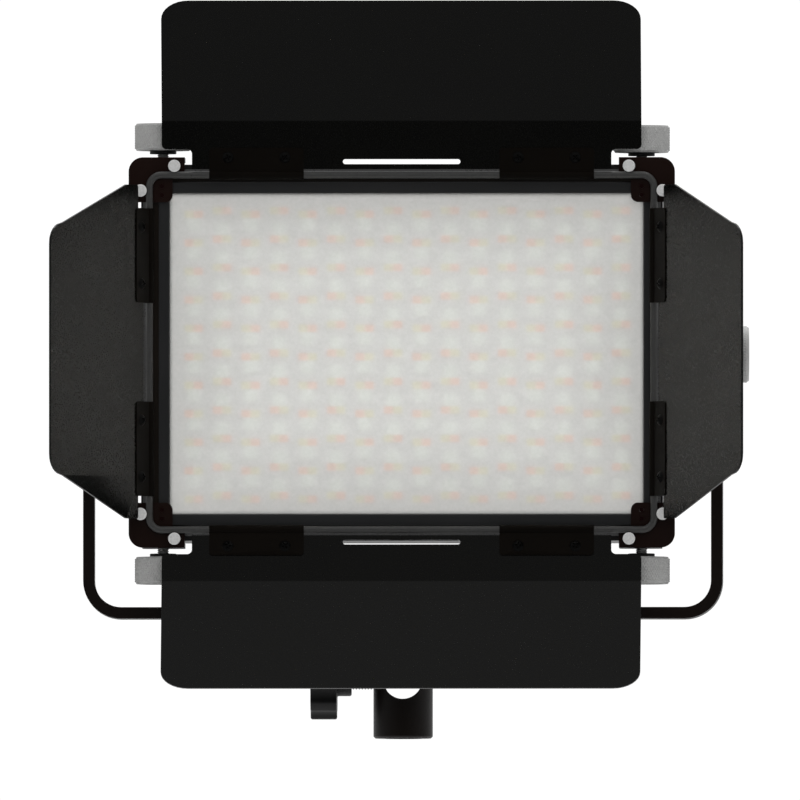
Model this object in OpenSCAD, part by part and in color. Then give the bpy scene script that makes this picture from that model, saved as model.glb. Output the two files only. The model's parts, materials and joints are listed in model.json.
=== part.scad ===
// LED panel light with four barn-door leaves, a U-shaped yoke and a stand receiver.
// Millimetres, +Z up. The origin is the mouth of the stand socket, and the light faces -Y.
// Leaves are drawn in their own frame: hinge line along X, leaf towards +Z, inner face towards -Y.

/* [Lamp head] */
// Width of the housing
head_w = 219.6; // [216:0.2:224]
// Height of the housing
head_h = 158.4; // [156:0.2:162]
// Width of the lit opening
window_w = 199.4; // [190:0.2:201]
// Height of the lit opening
window_h = 135; // [130:0.5:137]
// Offset of the lit opening to the right of the head's centre
window_x = 2; // [-1:0.5:2]
// Offset of the lit opening above the head's centre
window_z = -0.5; // [-0.5:0.5:0.5]
// Front face, forward of the tilt axis
front_depth = 32.5; // [31:0.5:35]
// Rear edge of the housing, behind the tilt axis
rear_depth = 12; // [11:0.5:14]
// Depth of the control box on the rear cover
box_depth = 16; // [15:0.5:20]

/* [LED board] */
// Columns of LEDs
led_columns = 16; // [8:1:16]
// Rows of white LED pairs
led_rows = 11; // [5:1:11]
// Distance between neighbouring columns and rows
led_pitch = 12; // [11:0.5:12]

/* [Barn doors] */
// Diameter of the wire that the leaves hinge on
rod_d = 3; // [2:0.1:3.4]
// Thickness of the leaf sheet
sheet_t = 1; // [0.6:0.1:1.2]
// Length of the top and bottom leaves beyond their bend
fold_len = 53; // [40:1:53]
// Angle of that bend
fold_angle = 15; // [5:1:20]
// Reach of the side leaves from the wire
side_len = 78; // [70:1:80]
// Forward lean of the top leaf at rest
top_lean = 5; // [0:1:60]
// Forward lean of the bottom leaf at rest
bottom_lean = 16; // [12:1:60]
// Forward lean of the left leaf at rest
left_lean = 58.5; // [10:0.5:80]
// Forward lean of the right leaf at rest
right_lean = 60.5; // [10:0.5:80]

/* [Yoke and receiver] */
// Distance between the inner faces of the yoke's arms
yoke_inner_w = 259.6; // [256:0.2:270]
// Thickness of the yoke bar
yoke_t = 4.8; // [4:0.2:6]
// Width of the yoke bar
yoke_bar_w = 20; // [18:1:24]
// Outside of the yoke's base, below the tilt axis
yoke_drop = 111.4; // [110:0.2:130]
// Outside diameter of the receiver
receiver_d = 25; // [24:0.2:30]
// Diameter of the stand socket and of the cross socket
socket_d = 16.2; // [16.1:0.05:16.3]
// Depth of the stand socket
socket_depth = 42; // [38:1:43]

/* [Hidden] */
$fn = 96;

gap = 0.05;            // radial clearance round a shaft
cut = 1;               // how far a cutting tool runs past the face it cuts

// Receiver and yoke heights, up from the socket mouth
swivel_washer_t = 1;
receiver_h = 49.3;
lamp_z = receiver_h + swivel_washer_t + yoke_drop;
cross_z = lamp_z - 137.2;
yoke_base_z = lamp_z - yoke_drop;
yoke_bend_r = 16;
yoke_half = yoke_inner_w / 2;
swivel_bolt_r = 4;
tilt_stud_r = 4;

// Depths in the head, from the tilt axis
head_r = 6;
bezel_r = 5;
wall_t = 3;
side_rim_t = 0.7;
end_rim_t = 1.9;
bezel_t = 5.5;
lip_t = 2;
diffuser_t = 3;
front_y = -front_depth;
border_y = front_y + 0.6;
rim_y = front_y + 1.8;
diffuser_y = front_y + lip_t;
led_board_t = 1.6;
sink_t = 4;
sink_y = -11;
led_board_y = sink_y - led_board_t;
panel_w = window_w + 4;
panel_h = window_h + 4;
panel_r = 4;
border_w = window_w + 9.4;
border_h = window_h + 9.8;
border_r = 3;
window_r = 1.5;
bezel_screw_r = 1.25;
bezel_screw_x = 60;
bezel_screw_len = 4.6;
cover_t = 2;
box_w = 114;
box_h = 124;
box_r = 8;
box_wall = 2;
box_back_y = rear_depth + box_depth;
post_r = 4.5;
post_x = head_w / 2 - 7;
post_z = head_h / 2 - 6.5;
m3_r = 1.5;

// Boards, and the controls on the rear face of the control box
board_t = 1.6;
board_w = 100;
standoff_h = 4;
plug_t = 5;
inlet_depth = 11;
control_y = box_back_y - 9;
dial_x = 33;
dial_z = -4;
dial_shaft_r = 2;
bush_r = 3.5;
display_z = 34;
display_w = 64;
display_h = 36;
display_frame = 4;
display_t = 1.2;
button_pitch = 15;
button_z = -30;
button_r = 3.5;
button_travel = 1.2;
switch_h = 2;
switch_x = -30;
jack_x = 30;
lower_z = -49;
switch_w = 19;
switch_d = 13;
jack_r = 5.5;
jack_bore_r = 2.8;
rocker_rest = 10;

// Wire frame and its corner brackets
rod_r = rod_d / 2;
rod_x = head_w / 2 - 3.6;
rod_z = head_h / 2 - 4.5;
rod_corner_r = 5;
plate_t = 2;
rod_y = front_y - plate_t - rod_r;
bracket_x = head_w / 2 + 5.2;
bracket_z = head_h / 2 + 3;
flange_y = -11;
screw_x = head_w / 2 - 9.1;
screw_y = rod_y + 16;
stud_r = 2.5;
screw_grip = 7.5;
knob_r = 12;
knob_bevel = 0.8;
thumb_knob_h = 11.4;
washer_r = 5.6;
washer_t = 1.4;
tilt_knob_h = 8.9;
tilt_neck_r = 7;
tilt_neck_h = 2;
tilt_screw_len = 23;
rivet_r = 1.5;
tab_rivet_r = 0.95;

// Leaves and their hinge clips
clip_len = 39.8;
clip_reach = 11.5;
clip_t = 0.5;
clip_corner_r = 1.5;
screw_u = 7.5;
clip_screw_pitch = 24;
clip_hole_r = 1.3;
nut_t = 1.4;
leaf_half = 101;
wide_clip_x = 61.1;
side_clip_x = 40.7;
fold_u = 22.6;
bend_r = 2.5;
slot_u = 5.6;
slot_w = 49.5;
slot_h = 2.1;

// Lock knob, from its outer face to the end of its collar
knob_x = -38.9;
lock_knob_r = 16.5;
lock_grip_h = 11.1;
lock_collar_r = 6.7;
lock_knob_h = 17.2;
lock_bore_z = 8.9;

/* Helpers */

// Rectangle with rounded corners, centred
module rounded(w, h, r) {
    square([w, h - 2 * r], center = true);
    square([w - 2 * r, h], center = true);
    for (x = [-1, 1], y = [-1, 1])
        translate([x * (w / 2 - r), y * (h / 2 - r)]) circle(r);
}

// An outline drawn in X and Z, made solid from y0 back to y1
module along_y(y0, y1) {
    translate([0, y1, 0]) rotate([90, 0, 0]) linear_extrude(y1 - y0) children();
}

// A slot outline with full round ends, centred, along X
module stadium(w, h) {
    square([w - h, h], center = true);
    for (x = [-1, 1]) translate([x * (w - h) / 2, 0]) circle(h / 2);
}

module slab(w, h, r, y0, y1) {
    along_y(y0, y1) rounded(w, h, r);
}

// A box from y0 back to y1, centred on x and z
module block(w, h, y0, y1) {
    along_y(y0, y1) square([w, h], center = true);
}

module cyl_x(r, x0, x1) {
    translate([x0, 0, 0]) rotate([0, 90, 0]) cylinder(h = x1 - x0, r = r);
}

module cyl_y(r, y0, y1) {
    translate([0, y1, 0]) rotate([90, 0, 0]) cylinder(h = y1 - y0, r = r);
}

module cyl_z(r, z0, z1) {
    translate([0, 0, z0]) cylinder(h = z1 - z0, r = r);
}

module at_lamp() {
    translate([0, 0, lamp_z]) children();
}

module at_window() {
    translate([window_x, 0, lamp_z + window_z]) children();
}

// Copies at the four corners, each mirrored into its quarter
module quarters() {
    for (x = [0, 1], z = [0, 1]) mirror([x, 0, 0]) mirror([0, 0, z]) children();
}

module bevelled_cylinder(r, h, bevel) {
    cylinder(h = bevel, r1 = r - bevel, r2 = r);
    cyl_z(r, bevel, h - bevel);
    translate([0, 0, h - bevel]) cylinder(h = bevel, r1 = r, r2 = r - bevel);
}

// A low domed head of radius r and height h, its base at z = 0
module dome_head(r, h) {
    sphere_r = (r * r + h * h) / (2 * h);
    intersection() {
        cylinder(h = h, r = r);
        translate([0, 0, h - sphere_r]) sphere(sphere_r);
    }
}

// Points of an arc with different radii across and along
function arc(cx, cy, rx, ry, from, to, steps = 8) =
    [for (i = [0:steps]) let(a = from + (to - from) * i / steps)
        [cx + rx * cos(a), cy + ry * sin(a)]];

// A flat head with a bevelled rim and a shallow ring pressed into its face
module flat_head(r, h, bevel) {
    difference() {
        union() {
            cylinder(h = h - bevel, r = r);
            translate([0, 0, h - bevel]) cylinder(h = bevel, r1 = r, r2 = r - bevel);
        }
        translate([0, 0, h - 0.2]) difference() {
            cylinder(h = cut, r = 0.66 * r);
            cylinder(h = cut, r = 0.5 * r);
        }
    }
}

function mirrored(points) = [for (i = [len(points) - 1:-1:0]) [-points[i][0], points[i][1]]];

/* Head */

module housing() color([0.13, 0.12, 0.12]) at_lamp() {
    difference() {
        union() {
            difference() {
                slab(head_w, head_h, head_r, rim_y, rear_depth);
                slab(head_w - 2 * side_rim_t, head_h - 2 * end_rim_t, bezel_r,
                    front_y - cut, front_y + bezel_t);
                slab(head_w - 2 * wall_t, head_h - 2 * wall_t, head_r - wall_t,
                    front_y, rear_depth + cut);
            }
            quarters() translate([post_x, 0, post_z])
                cyl_y(post_r, sink_y + sink_t, rear_depth);
        }
        quarters() translate([post_x, 0, post_z])
            cyl_y(m3_r + gap, sink_y + sink_t - cut, rear_depth + cut);
        for (side = [-1, 1], x = [-screw_x, screw_x]) translate([x, screw_y, 0])
            cyl_z(stud_r + gap, side * head_h / 2 - wall_t - cut, side * head_h / 2 + wall_t + cut);
        for (side = [0, 1]) mirror([side, 0, 0])
            cyl_x(tilt_stud_r + gap, head_w / 2 - wall_t - cut, head_w / 2 + cut);
        bezel_screw_places() cyl_z(bezel_screw_r + gap, -cut, bezel_screw_len + 0.4);
    }
}

// Four places, two in the top face and two in the bottom, with +Z into the head
module bezel_screw_places() {
    quarters() translate([bezel_screw_x, front_y + bezel_t / 2, head_h / 2])
        rotate([180, 0, 0]) children();
}

module front_bezel() color([0.14, 0.14, 0.15]) at_lamp() {
    fit_w = head_w - 2 * side_rim_t - 2 * gap;
    fit_h = head_h - 2 * end_rim_t - 2 * gap;
    difference() {
        union() {
            slab(fit_w, fit_h, bezel_r, border_y, front_y + bezel_t);
            translate([window_x, 0, window_z]) slab(border_w, border_h, border_r, front_y, border_y);
        }
        translate([window_x, 0, window_z]) {
            slab(window_w, window_h, window_r, front_y - cut, front_y + bezel_t + cut);
            slab(panel_w, panel_h, panel_r, diffuser_y, front_y + bezel_t + cut);
        }
        bezel_screw_places() cyl_z(bezel_screw_r + gap, -cut, bezel_screw_len + 0.4);
    }
}

module bezel_screws() color([0.1, 0.1, 0.1]) at_lamp() {
    bezel_screw_places() {
        cyl_z(bezel_screw_r, 0, bezel_screw_len);
        rotate([180, 0, 0]) dome_head(2.3, 0.9);
    }
}

module diffuser() color([0.92, 0.91, 0.9]) at_window()
    slab(panel_w - 2 * gap, panel_h - 2 * gap, panel_r, diffuser_y, diffuser_y + diffuser_t);

module mixing_frame() color([0.95, 0.95, 0.95]) at_window() difference() {
    wall = 2.5;
    slab(panel_w, panel_h, panel_r, diffuser_y + diffuser_t, led_board_y);
    slab(panel_w - 2 * wall, panel_h - 2 * wall, panel_r - 2, diffuser_y, led_board_y + cut);
}

module led_board() color([0.93, 0.93, 0.92]) at_window()
    slab(panel_w, panel_h, panel_r, led_board_y, sink_y);

// Places of a grid of LEDs. Even columns are raised and odd ones lowered. $swap changes sign each row
module led_places(rows, stagger) {
    for (c = [0:led_columns - 1], r = [0:rows - 1])
        translate([(c - (led_columns - 1) / 2) * led_pitch, 0,
            ((rows - 1) / 2 - r) * led_pitch + (c % 2 == 0 ? stagger : -stagger)]) {
            $swap = r % 2 == 0 ? 1 : -1;
            children();
        }
}

module white_leds(hand) {
    led_w = 3.5;
    led_h = 2.8;
    led_t = 0.7;
    led_gap = 0.5;
    led_places(led_rows, -0.75) translate([hand * $swap * (led_w + led_gap) / 2, 0, 0])
        block(led_w, led_h, led_board_y - led_t, led_board_y);
}

module warm_leds() color([0.95, 0.8, 0.5]) at_window() white_leds(1);

module cool_leds() color([0.98, 0.95, 0.75]) at_window() white_leds(-1);

module rgb_leds() color([0.9, 0.9, 0.88]) at_window() {
    led_w = 5;
    led_t = 1.6;
    led_places(led_rows - 1, 1) block(led_w, led_w, led_board_y - led_t, led_board_y);
}

module heat_sink() color([0.75, 0.76, 0.78]) at_lamp() {
    fin_t = 1.6;
    fin_pitch = 6;
    fin_x = 62;
    fin_h = panel_h - 6;
    back_y = sink_y + sink_t;
    difference() {
        slab(head_w - 2 * wall_t - 4 * gap, head_h - 2 * wall_t - 4 * gap, head_r - wall_t,
            sink_y, back_y);
        quarters() translate([post_x, 0, post_z]) cyl_y(m3_r + gap, sink_y - cut, back_y + cut);
    }
    for (side = [-1, 1], i = [0:6])
        translate([side * (fin_x + i * fin_pitch), 0, 0])
            block(fin_t, fin_h, back_y, rear_depth - 2);
}

module board_screws() color([0.7, 0.7, 0.72]) at_lamp() quarters()
    translate([post_x, 0, post_z]) {
        cyl_y(m3_r, sink_y, sink_y + 10);
        cyl_y(2.7, sink_y - 2, sink_y);
    }

// The power board stands on four spacers behind the heat sink
module driver_board() color([0.1, 0.35, 0.2]) at_lamp() {
    back_y = sink_y + sink_t;
    board_y = back_y + standoff_h;
    top_y = board_y + board_t;
    block(board_w, 108, board_y, top_y);
    for (x = [-44, 44], z = [-48, 48]) translate([x, 0, z]) cyl_y(3, back_y, board_y);
    for (x = [-38, -24]) translate([x, 0, 30]) cyl_y(5, top_y, top_y + 14);
    translate([5, 0, 30]) block(24, 18, top_y, top_y + 13);
    translate([34, 0, 26]) cyl_y(8, top_y, top_y + 9);
    for (x = [-30:15:30]) translate([x, 0, 0]) block(9, 7, top_y, top_y + 3);
    translate([0, 0, -25]) block(16, 16, top_y, top_y + 1.4);
    for (x = [switch_x, jack_x]) translate([x, 0, lower_z]) block(10, 6, top_y, top_y + plug_t);
}

module control_board() color([0.1, 0.3, 0.18]) at_lamp() {
    translate([0, 0, 8]) block(board_w, 96, control_y, control_y + board_t);
    for (i = [-1.5:1:1.5]) translate([i * button_pitch, 0, button_z])
        block(4, 4, control_y + board_t, control_y + board_t + switch_h);
    for (x = [-46, 46], z = [-36, 52]) translate([x, 0, z])
        cyl_y(2.5, control_y + board_t, box_back_y - box_wall);
}

// Bowed leads from the power board back to the switch and the power inlet
module wire_harness() color([0.6, 0.1, 0.1]) at_lamp() {
    lead_r = 0.8;
    from_y = sink_y + sink_t + standoff_h + board_t + plug_t + lead_r;
    to_y = box_back_y - inlet_depth - lead_r;
    bow_r = (to_y - from_y) / 2 / sin(45);
    for (x = [switch_x, jack_x], lead = [-2, 2])
        translate([x + lead, (from_y + to_y) / 2, lower_z + bow_r * cos(45)])
            rotate([90, 0, 90]) rotate([0, 0, -135])
                rotate_extrude(angle = 90) translate([bow_r, 0]) circle(lead_r);
}

module rear_cover() color([0.12, 0.12, 0.12]) at_lamp() difference() {
    union() {
        slab(head_w, head_h, head_r, rear_depth, rear_depth + cover_t);
        slab(box_w, box_h, box_r, rear_depth, box_back_y);
    }
    slab(box_w - 2 * box_wall, box_h - 2 * box_wall, box_r - box_wall,
        rear_depth - cut, box_back_y - box_wall);
    for (side = [-1, 1], i = [-7:7]) translate([side * 83, 0, i * 8.5])
        along_y(rear_depth - cut, rear_depth + cover_t + cut) stadium(34, 3);
    quarters() translate([post_x, 0, post_z])
        cyl_y(m3_r + gap, rear_depth - cut, rear_depth + cover_t + cut);
    translate([0, 0, display_z]) {
        slab(display_w, display_h, 3, box_back_y - display_t, box_back_y + cut);
        slab(display_w - 2 * display_frame, display_h - 2 * display_frame, 1,
            box_back_y - box_wall - cut, box_back_y);
    }
    for (x = [-dial_x, dial_x]) translate([x, 0, dial_z])
        cyl_y(bush_r + gap, box_back_y - box_wall - cut, box_back_y + cut);
    for (i = [-1.5:1:1.5]) translate([i * button_pitch, 0, button_z])
        cyl_y(button_r + gap, box_back_y - box_wall - cut, box_back_y + cut);
    translate([switch_x, 0, lower_z])
        block(switch_w + 2 * gap, switch_d + 2 * gap, box_back_y - box_wall - cut, box_back_y + cut);
    translate([jack_x, 0, lower_z])
        cyl_y(jack_r + gap, box_back_y - box_wall - cut, box_back_y + cut);
}

module rear_screws() color([0.6, 0.6, 0.62]) at_lamp() quarters()
    translate([post_x, 0, post_z]) {
        cyl_y(m3_r, rear_depth - 8, rear_depth + cover_t);
        translate([0, rear_depth + cover_t, 0]) rotate([-90, 0, 0]) difference() {
            dome_head(2.8, 1.7);
            cyl_z(1.1, 0.7, 2);
        }
    }

module display() color([0.15, 0.18, 0.2]) at_lamp() translate([0, 0, display_z])
    block(display_w - 2 * display_frame - 1, display_h - 2 * display_frame - 1,
        control_y + board_t, box_back_y - display_t - gap);

module display_window() color([0.05, 0.06, 0.07, 0.6]) at_lamp() translate([0, 0, display_z])
    slab(display_w - 2 * gap, display_h - 2 * gap, 3, box_back_y - display_t, box_back_y);

// Rotary encoders: a square body, and a threaded bush with its nut outside the box
module encoders() color([0.6, 0.6, 0.6]) at_lamp() for (x = [-dial_x, dial_x])
    translate([x, 0, dial_z]) difference() {
        union() {
            block(12, 12, control_y + board_t, box_back_y - box_wall);
            cyl_y(bush_r, box_back_y - box_wall, box_back_y + 3);
            translate([0, box_back_y + 1.5, 0]) rotate([90, 0, 0])
                cylinder(h = 1.5, r = 5, $fn = 6);
        }
        cyl_y(dial_shaft_r + gap, control_y + board_t + 1, box_back_y + 4);
    }

// A dial and the encoder spindle that it is pressed onto
module dial(x) {
    dial_r = 10;
    dial_h = 12;
    shaft_end_y = box_back_y + 10;
    at_lamp() translate([x, 0, dial_z]) {
        color([0.1, 0.1, 0.1]) difference() {
            union() {
                cyl_y(dial_r, box_back_y + 0.6, box_back_y + dial_h - 1);
                cyl_y(dial_r - 1, box_back_y + dial_h - 1, box_back_y + dial_h);
            }
            cyl_y(5.9, box_back_y, box_back_y + 3.4);
            cyl_y(dial_shaft_r, box_back_y, shaft_end_y);
        }
        color([0.6, 0.6, 0.6]) cyl_y(dial_shaft_r, control_y + board_t + 1.2, shaft_end_y);
    }
}

module dial_left() dial(-dial_x);

module dial_right() dial(dial_x);

// A push button with a flange that keeps it in the box
module button(i) color([0.16, 0.16, 0.17]) at_lamp() translate([i * button_pitch, 0, button_z]) {
    flange_back_y = box_back_y - box_wall - 0.1;
    flange_front_y = flange_back_y - 1.3;
    cyl_y(button_r, flange_back_y, box_back_y + 1.6);
    cyl_y(button_r + 1, flange_front_y, flange_back_y);
    cyl_y(1.2, control_y + board_t + switch_h + button_travel + gap, flange_front_y);
}

module button_menu() button(-1.5);

module button_mode() button(-0.5);

module button_back() button(0.5);

module button_preset() button(1.5);

module power_switch_frame() color([0.08, 0.08, 0.08]) at_lamp()
    translate([switch_x, 0, lower_z]) difference() {
        union() {
            block(switch_w + 3, switch_d + 3, box_back_y, box_back_y + 1.5);
            block(switch_w, switch_d, box_back_y - inlet_depth, box_back_y);
        }
        block(14.2, 11.2, box_back_y - 7, box_back_y + 2);
    }

// The rocker's section is a wide V, and it turns about X on a line just behind the box face
module power_rocker() color([0.7, 0.08, 0.06]) at_lamp()
    translate([switch_x, box_back_y - 1, lower_z]) rotate([rocker_rest, 0, 0])
        rotate([90, 0, 90]) translate([0, 0, -7]) linear_extrude(14) intersection() {
            circle(5.4);
            polygon([[-4, -4], [-4, 4], [1, 6], [3.2, 5], [1.8, 0], [3.2, -5], [1, -6]]);
        }

module dc_jack() color([0.1, 0.1, 0.1]) at_lamp() translate([jack_x, 0, lower_z]) {
    difference() {
        union() {
            cyl_y(jack_r + 1.5, box_back_y, box_back_y + 1.5);
            cyl_y(jack_r, box_back_y - inlet_depth, box_back_y);
        }
        cyl_y(jack_bore_r, box_back_y - 9, box_back_y + 2);
    }
    cyl_y(1, box_back_y - 9, box_back_y);
}

// Spacers between the housing's sides and the yoke, threaded for the tilt knobs
module tilt_bosses() color([0.12, 0.11, 0.11]) at_lamp() for (side = [0, 1])
    mirror([side, 0, 0]) difference() {
        union() {
            cyl_x(11, head_w / 2, head_w / 2 + 4);
            cyl_x(8.5, head_w / 2 + 4, yoke_half - 0.8 - gap);
        }
        cyl_x(tilt_stud_r + gap, head_w / 2 - cut, yoke_half + cut);
    }

/* Barn-door frame */

module wire_frame() color([0.35, 0.35, 0.34]) at_lamp() translate([0, rod_y, 0]) {
    long_x = rod_x - rod_corner_r;
    long_z = rod_z - rod_corner_r;
    for (z = [-rod_z, rod_z]) translate([0, 0, z]) cyl_x(rod_r, -long_x, long_x);
    for (x = [-rod_x, rod_x]) translate([x, 0, 0]) cyl_z(rod_r, -long_z, long_z);
    quarters() translate([long_x, 0, long_z]) rotate([90, 0, 0])
        rotate_extrude(angle = 90) translate([rod_corner_r, 0]) circle(rod_r);
}

// Places on one corner bracket, in X and Z from the head's centre
rivet_places = [[head_w / 2 - 14.1, head_h / 2 - 0.7], [head_w / 2 + 0.1, head_h / 2 - 11.1]];
tab_places = [[head_w / 2 - 8.8, head_h / 2 - 9.2], [head_w / 2 - 8.8, head_h / 2 - 12.9]];

// Outline of the bracket's plate in the upper right corner
module bracket_outline() {
    tab_x = head_w / 2 - 13.3;
    tab_z = head_h / 2 - 15.9;
    arm_x = head_w / 2 - 18.4;
    corner_r = 6;
    tab_r = 3;
    translate([tab_x, tab_z + tab_r]) square([bracket_x - tab_x, bracket_z - tab_z - tab_r - corner_r]);
    translate([tab_x + tab_r, tab_z]) square([bracket_x - tab_x - tab_r - 1, tab_r]);
    translate([tab_x + tab_r, tab_z + tab_r]) circle(tab_r);
    translate([bracket_x - 1, tab_z + 1]) circle(1);
    translate([bracket_x - 1, tab_z + 1]) square([1, tab_r]);
    translate([arm_x + 1, head_h / 2 - 5.2]) square([bracket_x - arm_x - 1 - corner_r, 8.2]);
    translate([arm_x, head_h / 2 - 5.2]) square([2, 7.2]);
    translate([arm_x + 1, bracket_z - 1]) circle(1);
    translate([bracket_x - corner_r, bracket_z - corner_r]) circle(corner_r);
}

// The plate lies on the bezel under the wire, and its flange runs back over the housing
module corner_brackets() color([0.09, 0.06, 0.055]) at_lamp() quarters() difference() {
    flange_x = head_w / 2 - 18.4;
    flange_w = 18;
    flange_r = 3;
    union() {
        along_y(front_y - plate_t, front_y) bracket_outline();
        translate([flange_x, front_y - plate_t, bracket_z - plate_t])
            cube([flange_w, flange_y - front_y + plate_t - flange_r, plate_t]);
        translate([flange_x + flange_r, front_y, bracket_z - plate_t])
            cube([flange_w - 2 * flange_r, flange_y - front_y, plate_t]);
        for (x = [flange_r, flange_w - flange_r]) translate([flange_x + x, flange_y - flange_r, 0])
            cyl_z(flange_r, bracket_z - plate_t, bracket_z);
    }
    translate([screw_x, screw_y, 0]) cyl_z(stud_r + gap, bracket_z - plate_t - cut, bracket_z + cut);
    for (p = rivet_places) translate([p[0], 0, p[1]])
        cyl_y(rivet_r + gap, front_y - plate_t - cut, front_y + cut);
    for (p = tab_places) translate([p[0], 0, p[1]])
        cyl_y(tab_rivet_r + gap, front_y - plate_t - cut, front_y + cut);
}

// Each head laps over the wire's edge and holds it down on the plate
module bracket_rivets() color([0.75, 0.75, 0.76]) at_lamp() quarters()
    for (p = rivet_places) translate([p[0], 0, p[1]]) {
        head_y = rod_y - rod_r;
        cyl_y(rivet_r, head_y, front_y);
        translate([0, head_y, 0]) rotate([90, 0, 0]) flat_head(2.6, 1, 0.3);
    }

module tab_rivets() color([0.05, 0.04, 0.04]) at_lamp() quarters()
    for (p = tab_places) translate([p[0], 0, p[1]])
        cyl_y(tab_rivet_r, front_y - plate_t - 0.3, front_y);

// A knurled knob on its stud: z = 0 is the seat, the stud runs down and the knob up
module knob_and_stud(knob_h, neck_r, neck_h, shank_r, shank_len) {
    cyl_z(shank_r, -shank_len, neck_h);
    cyl_z(neck_r, 0, neck_h);
    translate([0, 0, neck_h]) bevelled_cylinder(knob_r, knob_h, knob_bevel);
}

// A thumbscrew with a captive washer, turned out until the washer stands this far off its bracket
module thumbscrew(flip_x, flip_z, out) color([0.78, 0.78, 0.78]) at_lamp()
    mirror([flip_x, 0, 0]) mirror([0, 0, flip_z]) translate([screw_x, screw_y, bracket_z + out])
        knob_and_stud(thumb_knob_h, washer_r, washer_t, stud_r, out + screw_grip);

module thumbscrew_top_left() thumbscrew(1, 0, 1.7);

module thumbscrew_top_right() thumbscrew(0, 0, 0.8);

module thumbscrew_bottom_left() thumbscrew(1, 1, 2.2);

module thumbscrew_bottom_right() thumbscrew(0, 1, 2.2);

/* Leaves */

// Where each leaf hangs: the wire's line, then its lean, from the leaf's own frame
module on_top() at_lamp() translate([0, rod_y, rod_z]) rotate([top_lean, 0, 0]) children();

module on_bottom() at_lamp() mirror([0, 0, 1]) translate([0, rod_y, rod_z])
    rotate([bottom_lean, 0, 0]) children();

module on_left() at_lamp() translate([-rod_x, rod_y, 0]) rotate([0, -90, 0])
    rotate([left_lean, 0, 0]) children();

module on_right() at_lamp() mirror([1, 0, 0]) translate([-rod_x, rod_y, 0])
    rotate([0, -90, 0]) rotate([right_lean, 0, 0]) children();

module sheet() {
    along_y(-sheet_t / 2, sheet_t / 2) children();
}

module clip_holes(clip_x) {
    for (x = [-clip_x, clip_x], s = [-0.5, 0.5]) translate([x + s * clip_screw_pitch, 0, screw_u])
        cyl_y(clip_hole_r, -4, 4);
}

// Right half of the folded leaf's outline, seen square to its hinge strip
function folded_edge() = let(tip_u = fold_u + bend_r * sin(fold_angle) + fold_len * cos(fold_angle))
    concat(
        [[88.3, 2.6]],
        arc(90.3, 8.9, 2, 2, 180, 90),
        arc(leaf_half - 2, 12.9, 2, 2, -90, 0),
        arc(leaf_half - 11.6, tip_u - 8, 11.6, 8, 0, 90));

// One face of the folded sheet, side is -0.5 for the inner face and 0.5 for the outer
function fold_line(side) = let(
        r = bend_r + side * sheet_t,
        run = fold_len + cut)
    concat(
        [[side * sheet_t, 0]],
        arc(-bend_r, fold_u, r, r, 0, fold_angle, 4),
        [[-bend_r + r * cos(fold_angle) - run * sin(fold_angle),
            fold_u + r * sin(fold_angle) + run * cos(fold_angle)]]);

function reversed(points) = [for (i = [len(points) - 1:-1:0]) points[i]];

// Top and bottom leaves: a hinge strip with a long slot, then the wide part bent forward
module folded_leaf() difference() {
    intersection() {
        rotate([90, 0, 90]) translate([0, 0, -leaf_half - cut]) linear_extrude(2 * (leaf_half + cut))
            polygon(concat(fold_line(0.5), reversed(fold_line(-0.5))));
        along_y(-fold_len, cut) polygon(concat(folded_edge(), mirrored(folded_edge())));
    }
    translate([0, 0, slot_u]) along_y(-sheet_t, sheet_t) stadium(slot_w, slot_h);
    clip_holes(wide_clip_x);
}

// Right half of a side leaf: narrow at the hinge, full height, then tapering to the tip
function side_edge() = let(tip_u = side_len, taper_u = side_len - 5.2) concat(
    [[60.4, 5.3], [60.4, 9.5], [69.3, 9.5]],
    arc(69.3, 10.5, 1, 1, -90, 0, 3),
    [[70.3, 18.7], [53.4, taper_u - 5]],
    arc(44.2, taper_u - 4, 8.8, tip_u - taper_u + 4, 20, 90, 6));

module flat_leaf() difference() {
    sheet() polygon(concat(side_edge(), mirrored(side_edge())));
    clip_holes(side_clip_x);
}

module clip_leg() {
    translate([-clip_len / 2, 0]) square([clip_len, clip_reach - clip_corner_r]);
    translate([clip_corner_r - clip_len / 2, 0]) square([clip_len - 2 * clip_corner_r, clip_reach]);
    for (side = [-1, 1]) translate([side * (clip_len / 2 - clip_corner_r), clip_reach - clip_corner_r])
        circle(clip_corner_r);
}

// Spring clips of folded plate: each wraps the wire and grips the leaf between two legs
module clips(clip_x) difference() {
    for (x = [-clip_x, clip_x]) translate([x, 0, 0]) difference() {
        union() {
            cyl_x(rod_r + gap + clip_t, -clip_len / 2, clip_len / 2);
            along_y(-sheet_t / 2 - clip_t, sheet_t / 2 + clip_t) clip_leg();
        }
        cyl_x(rod_r + gap, -clip_len, clip_len);
        translate([-clip_len, -sheet_t / 2, 0]) cube([2 * clip_len, sheet_t, clip_reach + cut]);
    }
    clip_holes(clip_x);
}

// A domed screw on the inner face and a hexagon nut on the outer face, at each hole
module clip_screws(clip_x) {
    face = sheet_t / 2 + clip_t;
    for (x = [-clip_x, clip_x], s = [-0.5, 0.5]) translate([x + s * clip_screw_pitch, 0, screw_u]) {
        cyl_y(clip_hole_r - gap, -face, face + 1.6);
        translate([0, -face, 0]) rotate([90, 0, 0]) dome_head(2.4, 1.2);
        translate([0, face + nut_t, 0]) rotate([90, 0, 0]) cylinder(h = nut_t, r = 2.4, $fn = 6);
    }
}

module leaf_top() color([0.09, 0.09, 0.085]) on_top() folded_leaf();

module leaf_bottom() color([0.11, 0.11, 0.1]) on_bottom() folded_leaf();

module leaf_left() color([0.17, 0.17, 0.16]) on_left() flat_leaf();

module leaf_right() color([0.18, 0.18, 0.17]) on_right() flat_leaf();

module clips_top() color([0.08, 0.06, 0.055]) on_top() clips(wide_clip_x);

module clips_bottom() color([0.08, 0.06, 0.055]) on_bottom() clips(wide_clip_x);

module clips_left() color([0.08, 0.06, 0.055]) on_left() clips(side_clip_x);

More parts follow.
